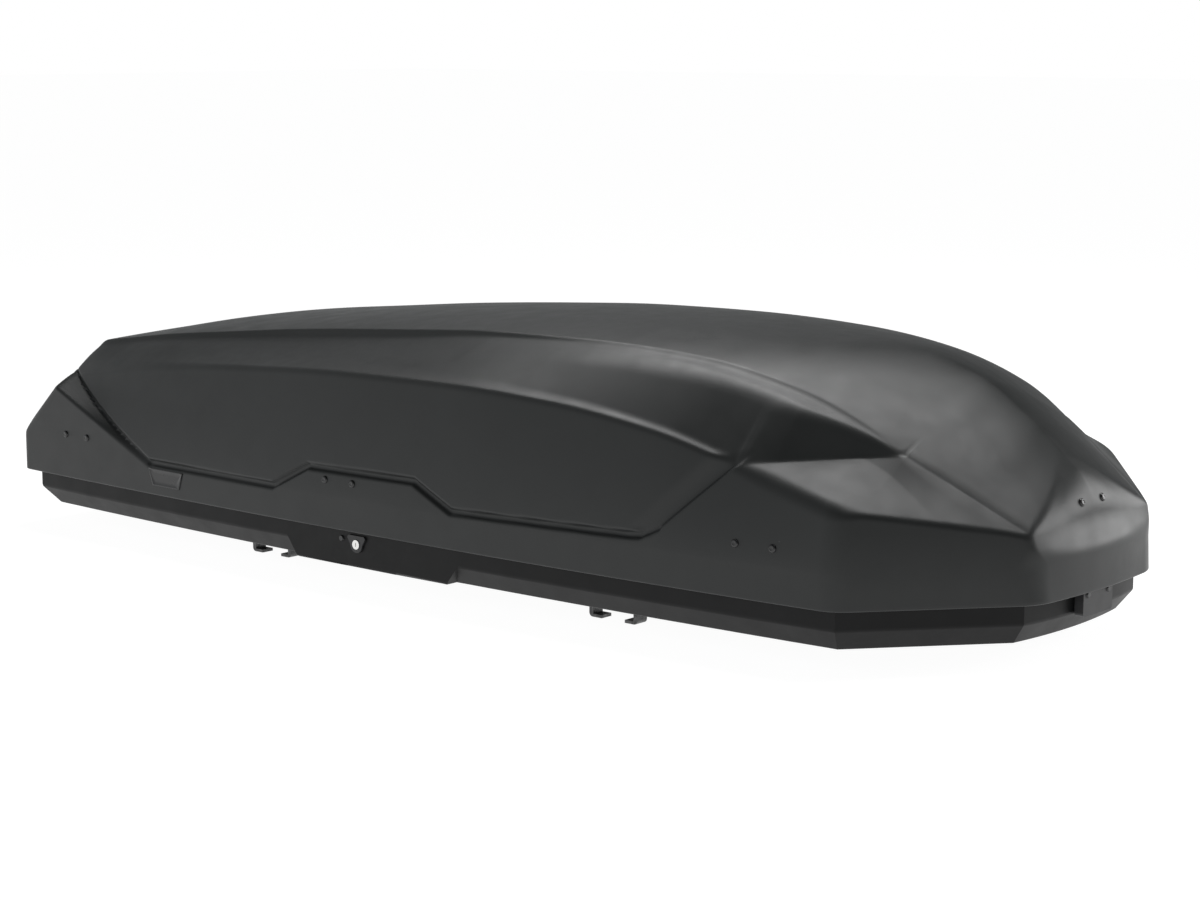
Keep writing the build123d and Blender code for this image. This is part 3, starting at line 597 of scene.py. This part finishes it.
def grained_plastic(name, base, roughness, grain=1400.0, depth=0.00006, specular=0.5):
    """Matt sheet with a fine leather-like grain whose cells darken towards their edges, faint flow marks and
    rubbed edges.
    """
    look = Look(name, base, roughness, specular=specular)
    cloud = look.noise(3.5, 4.0)
    fine = look.noise(grain, 2.0, 0.6)
    cell = look.cells(grain * 0.62)
    body = look.clouded(cloud, 0.94, 1.06)
    # The grain's cells are darkened towards their edges.
    body = look.mix(look.spread(cell, 0.1, 0.6, 0.0, 0.25), body, shade(base, 0.62))
    streak = look.noise(260.0, 3.0, 0.6, stretch=(0.15, 1.0, 1.0))
    streak = look.spread(streak, 0.66, 0.74, 0.0, 0.16)
    scuff = look.math("MULTIPLY", streak, look.spread(cloud, 0.45, 0.7, 0.0, 1.0))
    body = look.mix(scuff, body, shade(base, 1.9))
    body = look.mix(look.worn_edges(0.3), body, shade(base, 2.0))
    rough = look.uneven(look.noise(22.0, 4.0), 0.04, 0.04)
    return look.finish(body, rough, [(cell, 0.35, depth), (fine, 0.4, depth)])


def smooth_plastic(name, base, roughness, specular=0.5):
    """Satin moulding with a soft spark-eroded skin."""
    look = Look(name, base, roughness, specular=specular)
    body = look.clouded(look.noise(14.0, 4.0), 0.85, 1.15)
    body = look.mix(look.worn_edges(0.35), body, shade(base, 2.4))
    rough = look.uneven(look.noise(45.0, 4.0), 0.05, 0.06)
    return look.finish(body, rough, [(look.noise(1800.0, 2.0), 0.25, 0.00004)])


def brushed_metal(name, base, roughness, along=(1.0, 40.0, 40.0), dull=0.75):
    """Plated steel with brushing, faint blotches and duller patches."""
    look = Look(name, base, roughness, metallic=1.0)
    lines = look.noise(60.0, 3.0, 0.6, stretch=along)
    cloud = look.noise(18.0, 5.0)
    body = look.clouded(cloud, dull, 1.0)
    body = look.mix(look.spread(lines, 0.55, 0.75, 0.0, 0.35), body, shade(base, 0.7))
    blotch = look.spread(cloud, NOISE_LOW, NOISE_HIGH, 0.0, 0.08)
    rough = look.math("ADD", look.uneven(lines, 0.07, 0.1), blotch)
    return look.finish(body, rough, [(lines, 0.18, 0.00004)])


def painted_metal(name, base, roughness):
    """Powder coat: orange peel, worn to bare steel at sharp edges."""
    look = Look(name, base, roughness, coat=0.15)
    peel = look.noise(420.0, 2.0)
    body = look.clouded(look.noise(25.0, 4.0), 0.85, 1.2)
    body = look.mix(look.worn_edges(0.5, 0.55, 0.62), body, BARE_STEEL)
    return look.finish(body, look.uneven(peel, 0.06, 0.08), [(peel, 0.3, 0.0001)])


def rubber(name, base, roughness):
    """Soft matt rubber with a coarse skin."""
    look = Look(name, base, roughness, specular=0.3)
    body = look.clouded(look.noise(30.0, 5.0), 0.8, 1.6)
    rough = look.uneven(look.noise(80.0, 3.0), 0.09, 0.07)
    return look.finish(body, rough, [(look.cells(700.0), 0.4, 0.00012)])


LID_BLACK = (0.0165, 0.018, 0.0178)
# The tub's black plastic, darkened further as painted shade from the lid that overhangs it.
TUB_BLACK_AND_PAINTED_SHADE = (0.0045, 0.0046, 0.0048)
MOULDED_BLACK = (0.013, 0.013, 0.014)
KNOB_GREY = (0.05, 0.053, 0.057)
RIVET_BLACK = (0.006, 0.006, 0.0065)
ZINC = (0.56, 0.57, 0.57)
POWDER_BLACK = (0.018, 0.018, 0.019)
BARE_STEEL = (0.22, 0.22, 0.22)
NICKEL = (0.82, 0.82, 0.80)
RUBBER_BLACK = (0.012, 0.012, 0.012)
BADGE_BLACK = (0.008, 0.008, 0.0085)
looks = {
    "lid_plastic": grained_plastic("lid_plastic", LID_BLACK, 0.4, specular=0.36),
    # The tub's colour carries painted shade from the lid above it.
    "tub_plastic": grained_plastic("tub_plastic", TUB_BLACK_AND_PAINTED_SHADE, 0.45, grain=1900.0, depth=0.00003, specular=0.2),
    "moulded_plastic": smooth_plastic("moulded_plastic", MOULDED_BLACK, 0.45),
    "knob_plastic": grained_plastic("knob_plastic", KNOB_GREY, 0.5, grain=900.0),
    "rivet_black": smooth_plastic("rivet_black", RIVET_BLACK, 0.24, specular=0.6),
    "zinc_steel": brushed_metal("zinc_steel", ZINC, 0.34),
    "black_steel": painted_metal("black_steel", POWDER_BLACK, 0.38),
    "lock_metal": brushed_metal("lock_metal", NICKEL, 0.22, along=(30.0, 30.0, 30.0), dull=0.9),
    "rubber": rubber("rubber", RUBBER_BLACK, 0.85),
    "badge": smooth_plastic("badge", BADGE_BLACK, 0.3, specular=0.55),
}
for part in frame["record"]["subparts"]:
    node = frame["nodes"][part["node"]]
    node.data.materials.clear()
    node.data.materials.append(looks[part["material_slot"]])


# ---------------------------------------------------------------- lid skin
# Rays leave the stretch of the middle plane between the two spine ends, at the rim's height. A list of stops
# holds a place and the step that is wanted after it.
SPINE_END = 850.0
REACH = 405.0
HEIGHT_STOPS = [(0, 1), (4, 6), (22, 5), (36, 2.6), (118, 3.2), (305, 3.4), (306, 1)]
FINE_TURN, TURN_CHANGE, COARSE_TURN, TOP_TURN = 0.0075, 0.96, 0.022, 0.02
COLUMN_STOPS = [
    (-SPINE_END, 5), (-680, 3.2), (-440, 4), (-360, 2.8), (-220, 4.5), (-10, 2.8), (110, 5), (440, 3),
    (SPINE_END, 3),
]
TAIL_SPACING, NOSE_SPACING = 4.6, 3.0
FAN_SAMPLES = 721
STRIDE = 3
QUARTER, HALF_TURN = math.pi / 2, math.pi


def spaced(stops):
    """Values from stop to stop, each stretch with its own step."""
    values = [stops[0][0]]
    for (start, step), (end, _) in zip(stops, stops[1:]):
        count = max(1, round((end - start) / step))
        values += [start + (end - start) * (i + 1) / count for i in range(count)]
    return np.array(values)


def fan(spine_x, turn_from, turn_to, spacing):
    """Plan angles around a spine end, spread evenly along the rim."""
    turns = np.linspace(turn_from, turn_to, FAN_SAMPLES)
    from_x = np.full_like(turns, spine_x)
    from_z = np.full_like(turns, RIM_Z + RIM_ROUND)
    span = cast(from_x, from_z, np.cos(turns), np.sin(turns), 0 * turns)
    px, py = spine_x + span * np.cos(turns), span * np.sin(turns)
    run = np.concatenate([[0], np.cumsum(np.hypot(np.diff(px), np.diff(py)))])
    count = int(run[-1] / spacing)
    return np.interp(np.linspace(0, run[-1], count + 1), run, turns)


def on_middle_plane(grid):
    """Puts the grid's top row and its first and last columns on the middle plane."""
    grid[-1, :, 1] = 0
    grid[:, 0, 1] = 0
    grid[:, -1, 1] = 0


def outer_skin():
    """Grid of points on the left half of the lid's outer skin: rows go up, columns from tail to nose."""
    low_turns = np.arctan2(spaced(HEIGHT_STOPS), REACH)
    high_turns = spaced([(low_turns[-1], FINE_TURN), (TURN_CHANGE, COARSE_TURN), (QUARTER, TOP_TURN)])[1:]
    elevations = np.concatenate([low_turns, high_turns])
    column_x = spaced(COLUMN_STOPS)
    tail_turns = fan(-SPINE_END, HALF_TURN, QUARTER, TAIL_SPACING)[:-1]
    nose_turns = fan(SPINE_END, QUARTER, 0.0, NOSE_SPACING)[1:]
    tail_x = np.full(len(tail_turns), -SPINE_END)
    nose_x = np.full(len(nose_turns), SPINE_END)
    start_x = np.concatenate([tail_x, column_x, nose_x])
    turn = np.concatenate([tail_turns, np.full(len(column_x), QUARTER), nose_turns])

    shape = (len(elevations), len(turn))
    grid_x = np.broadcast_to(start_x, shape).ravel()
    grid_turn = np.broadcast_to(turn, shape).ravel()
    grid_up = np.repeat(elevations, len(turn))
    ray_x = np.cos(grid_up) * np.cos(grid_turn)
    ray_y = np.cos(grid_up) * np.sin(grid_turn)
    ray_z = np.sin(grid_up)
    span = cast(grid_x, np.full_like(grid_x, RIM_Z), ray_x, ray_y, ray_z)
    skin = np.stack([grid_x + ray_x * span, ray_y * span, RIM_Z + ray_z * span], -1).reshape(*shape, 3)
    on_middle_plane(skin)
    return skin


def inner_skin(coarse):
    """The coarse grid moved inwards by the lid's wall, along its normals."""
    down = np.gradient(coarse, axis=0)
    across = np.gradient(coarse, axis=1)
    normal = np.cross(across, down)
    normal = normal / np.maximum(np.linalg.norm(normal, axis=2, keepdims=True), 1e-9)
    spine = np.zeros_like(coarse)
    spine[..., 0] = np.clip(coarse[..., 0], -SPINE_END, SPINE_END)
    spine[..., 2] = RIM_Z
    outwards = np.sum(normal * (coarse - spine), -1, keepdims=True)
    inner = coarse - LID_WALL * normal * np.where(outwards < 0, -1, 1)
    inner[0, :, 2] = RIM_Z
    on_middle_plane(inner)
    inner[-1, :, 2] = coarse[-1, :, 2] - LID_WALL
    return inner


def build_lid():
    """The lid: a fine outer skin, a coarse inner one and the rim between them, mirrored."""
    outer = outer_skin()
    rows, columns = outer.shape[:2]
    row_pick = np.unique(np.append(np.arange(0, rows, STRIDE), rows - 1))
    column_pick = np.unique(np.append(np.arange(0, columns, STRIDE), columns - 1))
    inner = inner_skin(outer[np.ix_(row_pick, column_pick)])
    offset = rows * columns
    faces = grid_faces(rows, columns)
    faces += grid_faces(*inner.shape[:2], offset=offset, flip=True)
    # The rim's underside joins each coarse stretch of the inner skin to the fine outer one.
    for i in range(len(column_pick) - 1):
        fine = list(range(column_pick[i], column_pick[i + 1] + 1))
        faces.append(fine + [offset + i + 1, offset + i])
    half = np.concatenate([outer.reshape(-1, 3), inner.reshape(-1, 3)])
    mirrored = half * np.array([1, -1, 1])
    faces += [[index + len(half) for index in reversed(face)] for face in faces]
    weld(lid_piece("lid_skin", np.concatenate([half, mirrored]), faces, "lid_plastic", "lid_shell"))


build_lid()


# ---------------------------------------------------------------- rivets
HINGE_XS = (-875, -152, 700)
HINGE_HALF, HINGE_RIVET_Z = 33, 182
NOSE_RIVET_Y, NOSE_RIVET_Z = 30, 233
NOSE_SEARCH_FROM, NOSE_SEARCH_STEPS = 960, 400
# A rivet's head from the skin outwards: radius, height above the skin.
RIVET_HEAD = [
    (6.6, -3.0), (6.6, 0.6), (6.1, 1.7), (4.9, 2.8), (3.2, 3.5), (2.8, 3.2), (1.3, 3.1), (0.2, 3.1),
]
RIVET_SIDES = 20
NORMAL_STEP = 1.5


def lathe(profile, place, normal):
    """Points and faces of a turned head standing on a surface."""
    turn_to = Vector(normal).to_track_quat("Z", "Y").to_matrix()
    points = []
    for radius, height in profile:
        for i in range(RIVET_SIDES):
            angle = 2 * math.pi * i / RIVET_SIDES
            local = Vector((radius * math.cos(angle), radius * math.sin(angle), height))
            points.append(tuple(turn_to @ local + Vector(place)))
    faces = ring_faces(len(profile), RIVET_SIDES)
    faces.append(list(range(RIVET_SIDES))[::-1])
    faces.append(list(range(len(points) - RIVET_SIDES, len(points))))
    return points, faces


def joined(parts):
    """One list of points and one of faces from several."""
    points, faces = [], []
    for part_points, part_faces in parts:
        faces += [[index + len(points) for index in face] for face in part_faces]
        points += part_points
    return points, faces


def skin_normal(x, y, z):
    """Outward normal of the lid at a point of its skin, on either side."""
    at = [np.array([v]) for v in (x, abs(y), z)]
    slope = []
    for axis in range(3):
        ahead = [v + NORMAL_STEP * (axis == i) for i, v in enumerate(at)]
        behind = [v - NORMAL_STEP * (axis == i) for i, v in enumerate(at)]
        slope.append(float((lid_field(*ahead) - lid_field(*behind))[0]))
    slope[1] *= math.copysign(1, y)
    return Vector(slope).normalized()


def nose_x(y, z):
    """Where the nose's skin is at a distance from the middle plane and a height."""
    x = np.linspace(NOSE_SEARCH_FROM, HALF_LENGTH, NOSE_SEARCH_STEPS)
    inside = lid_field(x, np.full_like(x, y), np.full_like(x, z)) < 0
    return float(x[inside][-1])


def build_rivets():
    """Rivet heads in pairs over each hinge arm, and one pair on the nose."""
    places = []
    for hinge_x in HINGE_XS:
        for x in (hinge_x - HINGE_HALF, hinge_x + HINGE_HALF):
            y = skirt_y(x, HINGE_RIVET_Z)
            places += [(x, side * y, HINGE_RIVET_Z) for side in (-1, 1)]
    front_x = nose_x(NOSE_RIVET_Y, NOSE_RIVET_Z)
    places += [(front_x, side * NOSE_RIVET_Y, NOSE_RIVET_Z) for side in (-1, 1)]
    heads = [lathe(RIVET_HEAD, place, skin_normal(*place)) for place in places]
    lid_piece("lid_rivet_heads", *joined(heads), "rivet_black", "lid_rivets")


build_rivets()


# ---------------------------------------------------------------- blank badge plates
BADGE_LOW, BADGE_HIGH = (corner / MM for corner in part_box("badge_right"))
BADGE_TOP = (round(BADGE_LOW.x, 1), round(BADGE_HIGH.x, 1))
BADGE_TAPER = 11.0
BADGE_FOOT = (BADGE_TOP[0] + BADGE_TAPER, BADGE_TOP[1] - BADGE_TAPER)
BADGE_Z = (149.0, 118.0)
BADGE_SKIN_Z = 132.0
# The plate from its buried edge inwards: inset from the outline, height above the skin.
BADGE_RINGS = [(0.0, -1.5), (0.0, 1.1), (0.48, 1.6), (2.4, 1.6), (3.12, 1.0), (9.0, 1.0)]
BADGE_COLUMNS = 12


def build_badge(name, side):
    """A blank plate with a bevelled rim and a sunk field, following the skin."""
    points = []
    for inset, rise in BADGE_RINGS:
        top, foot = BADGE_Z[0] - inset, BADGE_Z[1] + inset
        along_top = np.linspace(BADGE_TOP[0] + inset, BADGE_TOP[1] - inset, BADGE_COLUMNS)
        along_foot = np.linspace(BADGE_FOOT[1] - inset, BADGE_FOOT[0] + inset, BADGE_COLUMNS)
        loop = [(x, top) for x in along_top] + [(x, foot) for x in along_foot]
        points += [(x, side * (skirt_y(x, BADGE_SKIN_Z) + rise), z) for x, z in loop]
    count = 2 * BADGE_COLUMNS
    faces = ring_faces(len(BADGE_RINGS), count)
    last = len(points) - count
    for i in range(BADGE_COLUMNS - 1):
        faces.append([last + i, last + i + 1, last + count - 2 - i, last + count - 1 - i])
        faces.append([i + 1, i, count - 1 - i, count - 2 - i])
    weld(lid_piece(f"badge_plate_{name}", points, faces, "badge", f"badge_{name}"))


build_badge("left", 1)
build_badge("right", -1)


# ---------------------------------------------------------------- stage, lights and camera
FLOOR_HALF = 40000
FLOOR_GREY, FLOOR_GLOW = 0.2, 0.96
WHITE = (1.0, 1.0, 1.0, 1.0)
# The world is white where it is seen. Where it lights, it is brightest towards BRIGHT_TOWARDS, and
# BRIGHT_RANGE takes the dot product with that direction, lowest and highest, to a strength.
COOL_WHITE = (0.97, 0.99, 1.0, 1.0)
BRIGHT_TOWARDS = (-0.25, -0.35, -0.65)
BRIGHT_RANGE = (-0.47, 0.5, 0.03, 1.0)
# The softboxes: name, place and target in metres, width, height and watts.
SOFTBOXES = [
    ("overhead", (0.1, 0.8, 2.7), (0.1, 0.75, 0.3), 3.8, 1.4, 92),
    ("nose_side", (2.6, 2.9, 1.1), (0.9, 0.1, 0.2), 2.0, 1.6, 60),
]
# The photograph's viewpoint, in metres.
CAMERA_AT = (2.921, -3.345, 0.929)
CAMERA_TOWARDS = (-0.6417, 0.7495, -0.1625)
LENS_MM, SENSOR_MM, CLIP_END = 76.95, 36.0, 200


def build_floor():
    """A plain pale floor."""
    look = bpy.data.materials.new("floor")
    look.use_nodes = True
    inputs = look.node_tree.nodes["Principled BSDF"].inputs
    inputs["Base Color"].default_value = (FLOOR_GREY, FLOOR_GREY, FLOOR_GREY, 1)
    inputs["Roughness"].default_value = 0.9
    inputs["Specular IOR Level"].default_value = 0.0
    inputs["Emission Color"].default_value = WHITE
    inputs["Emission Strength"].default_value = FLOOR_GLOW
    corners = [(x * FLOOR_HALF, y * FLOOR_HALF, 0) for x, y in ((-1, -1), (1, -1), (1, 1), (-1, 1))]
    new_piece("floor", corners, [[0, 1, 2, 3]], look, smooth=False)


def build_world(scene):
    """The plain studio around the object."""
    world = bpy.data.worlds.new("studio")
    scene.world = world
    world.use_nodes = True
    nodes, links = world.node_tree.nodes, world.node_tree.links
    white = nodes["Background"]
    white.inputs["Color"].default_value = WHITE
    white.inputs["Strength"].default_value = 1.0
    dim = nodes.new("ShaderNodeBackground")
    dim.inputs["Color"].default_value = COOL_WHITE
    facing = nodes.new("ShaderNodeVectorMath")
    facing.operation = "DOT_PRODUCT"
    links.new(nodes.new("ShaderNodeTexCoord").outputs["Generated"], facing.inputs[0])
    facing.inputs[1].default_value = BRIGHT_TOWARDS
    level = nodes.new("ShaderNodeMapRange")
    links.new(facing.outputs["Value"], level.inputs["Value"])
    for socket, value in zip(list(level.inputs)[1:5], BRIGHT_RANGE):
        socket.default_value = value
    links.new(level.outputs["Result"], dim.inputs["Strength"])
    blend = nodes.new("ShaderNodeMixShader")
    links.new(nodes.new("ShaderNodeLightPath").outputs["Is Camera Ray"], blend.inputs[0])
    links.new(dim.outputs[0], blend.inputs[1])
    links.new(white.outputs[0], blend.inputs[2])
    links.new(blend.outputs[0], nodes["World Output"].inputs["Surface"])


def softbox(name, place, target, width, height, power):
    """A rectangular light at a place in metres, turned to a target."""
    light = bpy.data.lights.new(name, "AREA")
    light.shape = "RECTANGLE"
    light.size, light.size_y = width, height
    light.energy = power
    holder = bpy.data.objects.new(name, light)
    holder.location = place
    holder.rotation_euler = (Vector(target) - Vector(place)).to_track_quat("-Z", "Y").to_euler()
    bpy.context.scene.collection.objects.link(holder)


def build_camera(scene):
    """The photograph's camera."""
    lens = bpy.data.cameras.new("camera")
    lens.lens = LENS_MM
    lens.sensor_width = SENSOR_MM
    lens.clip_end = CLIP_END
    camera = bpy.data.objects.new("camera", lens)
    camera.location = CAMERA_AT
    camera.rotation_euler = Vector(CAMERA_TOWARDS).to_track_quat("-Z", "Y").to_euler()
    scene.collection.objects.link(camera)
    scene.camera = camera


scene = bpy.context.scene
scene.view_settings.view_transform = "Standard"
scene.view_settings.look = "None"
build_floor()
build_world(scene)
for light in SOFTBOXES:
    softbox(*light)
build_camera(scene)
